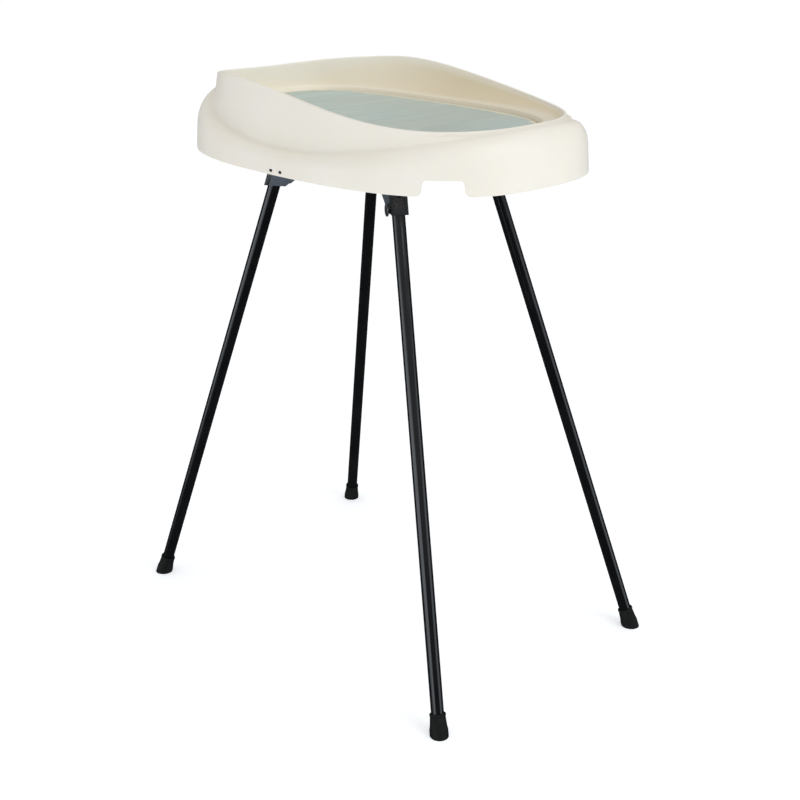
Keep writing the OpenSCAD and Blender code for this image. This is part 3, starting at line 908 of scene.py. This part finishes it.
for corner in CORNERS:
    hinge, leg = corner_frame(corner), leg_frame(corner)
    pivot_z = round(hinge.translation.z, 6)
    at_foot = leg @ Matrix.Translation((0, 0, -down_the_leg(pivot_z, 0)))
    at_button = leg @ Matrix.Translation((0, 0, -down_the_leg(pivot_z, BUTTON_Z)))
    at_button = at_button @ Matrix.Rotation(math.pi / 2, 4, "X")
    fit(copied("bracket_shell_" + corner, hinge, make_bracket, pivot_z),
        "tray", "bracket_plastic", "bracket_" + corner)
    fit(copied("leg_tube_" + corner, leg, make_tube, pivot_z), "leg_" + corner, "black_tube", "tube_" + corner)
    fit(copied("ferrule_" + corner, at_foot, make_foot), "leg_" + corner, "foot_rubber", "foot_" + corner)
    fit(copied("release_button_" + corner, at_button, make_button),
        "release_" + corner, "button_plastic", "button_" + corner)
for model in models.values():
    bpy.data.objects.remove(model)


# ---------- Studio ----------

HORIZON_LIGHT, ZENITH_LIGHT = 0.42, 0.81
HORIZON_TINT, ZENITH_TINT = (0.92, 0.99, 1.08, 1), (1.04, 1.0, 0.92, 1)
FLOOR_GLOW = 0.46
UNDER_LIGHT, BACKDROP_LIGHT = 0.05, 1.0
CAMERA_AT, CAMERA_LENS, CAMERA_SHIFT = (1.7456, -1.6110, 1.3269), 60.81, (-0.0135, -0.0128)
CAMERA_YAW, CAMERA_PITCH, CAMERA_ROLL = math.radians(136.19), math.radians(-20.49), math.radians(-0.11)


def make_floor():
    bpy.ops.mesh.primitive_plane_add(size=60, location=(0, 0, 0))
    floor = named("studio_floor")
    paper = Finish("studio_paper")
    paper.set(Base_Color=colour(0.82, 0.82, 0.82), Roughness=0.9, Specular_IOR_Level=0.0)
    paper.set(Emission_Color=colour(0.96, 1.0, 1.06), Emission_Strength=FLOOR_GLOW)
    floor.data.materials.append(paper.material)
    floor.visible_glossy = False


def add_lamp(name, at, aim, size, power, tint):
    bpy.ops.object.light_add(type="AREA", location=at)
    lamp = bpy.context.object
    lamp.name = name
    lamp.data.shape = "RECTANGLE"
    lamp.data.size, lamp.data.size_y = size
    lamp.data.energy = power
    lamp.data.color = tint
    lamp.rotation_euler = (Vector(aim) - Vector(at)).to_track_quat("-Z", "Y").to_euler()
    return lamp


def add_camera():
    bpy.ops.object.camera_add(location=CAMERA_AT)
    camera = named("front_camera")
    look = Vector((math.cos(CAMERA_PITCH) * math.cos(CAMERA_YAW), math.cos(CAMERA_PITCH) * math.sin(CAMERA_YAW),
                   math.sin(CAMERA_PITCH)))
    roll = Matrix.Rotation(CAMERA_ROLL, 4, "Z").to_quaternion()
    camera.rotation_mode = "QUATERNION"
    camera.rotation_quaternion = look.to_track_quat("-Z", "Y") @ roll
    camera.data.sensor_width = 36
    camera.data.lens = CAMERA_LENS
    camera.data.shift_x, camera.data.shift_y = CAMERA_SHIFT
    camera.data.clip_end = 100
    bpy.context.scene.camera = camera


class Sky(Finish):
    """The world's shading, with patterns on the direction looked in."""

    def __init__(self, name):
        self.material = bpy.data.worlds.new(name)
        self.material.use_nodes = True
        self.tree = self.material.node_tree
        self.shader = self.tree.nodes["Background"]
        self.place = self.node("ShaderNodeTexCoord", output="Generated")

    def card(self, azimuth, half_width, soft, strength):
        """A bright upright card standing far off near the horizon, for the tubes to reflect."""
        turn = math.radians(azimuth)
        facing = self.node("ShaderNodeVectorMath", {"operation": "DOT_PRODUCT"},
                           {0: self.place, 1: (math.cos(turn), math.sin(turn), 0)}, output="Value")
        edge = [math.cos(math.radians(half_width + side * soft)) for side in (1, -1)]
        return strength * self.ramp(facing, *edge)


def light_the_room():
    sky = Sky("studio")
    bpy.context.scene.world = sky.material
    height = sky.node("ShaderNodeSeparateXYZ", None, {"Vector": sky.place}, output="Z")
    above = sky.node("ShaderNodeMapRange", None, {
        "Value": height, "To Min": HORIZON_LIGHT, "To Max": ZENITH_LIGHT})
    under = 1 - sky.ramp(height, 0.04, 0.22)
    cards = (sky.card(azimuth=-103, half_width=31, soft=8, strength=3.1)
             + sky.card(azimuth=26, half_width=18, soft=7, strength=1.9))
    reach = sky.ramp(height, -0.32, -0.12) * (1 - sky.ramp(height, 0.10, 0.20))
    strength = above * (1 - under) + under * UNDER_LIGHT + cards * reach
    seen = sky.node("ShaderNodeLightPath", output="Is Camera Ray")
    sky.set(Strength=strength * (1 - seen) + seen * BACKDROP_LIGHT,
            Color=sky.blend(height, HORIZON_TINT, ZENITH_TINT))
    add_lamp("key_softbox", at=(2.6, 0.2, 2.4), aim=(-0.1, 0, 0.9), size=(1.6, 1.4), power=23.5,
             tint=(0.93, 0.98, 1.05))
    bowl_lamp = add_lamp("bowl_softbox", at=(0.35, -0.05, 1.75), aim=(-0.32, 0.0, 0.98), size=(0.3, 0.3),
                         power=0.14, tint=(1, 1, 1))
    bowl_lamp.data.spread = math.radians(60)
    bpy.context.scene.view_settings.view_transform = "Standard"
    bpy.context.scene.view_settings.look = "None"


make_floor()
add_camera()
light_the_room()
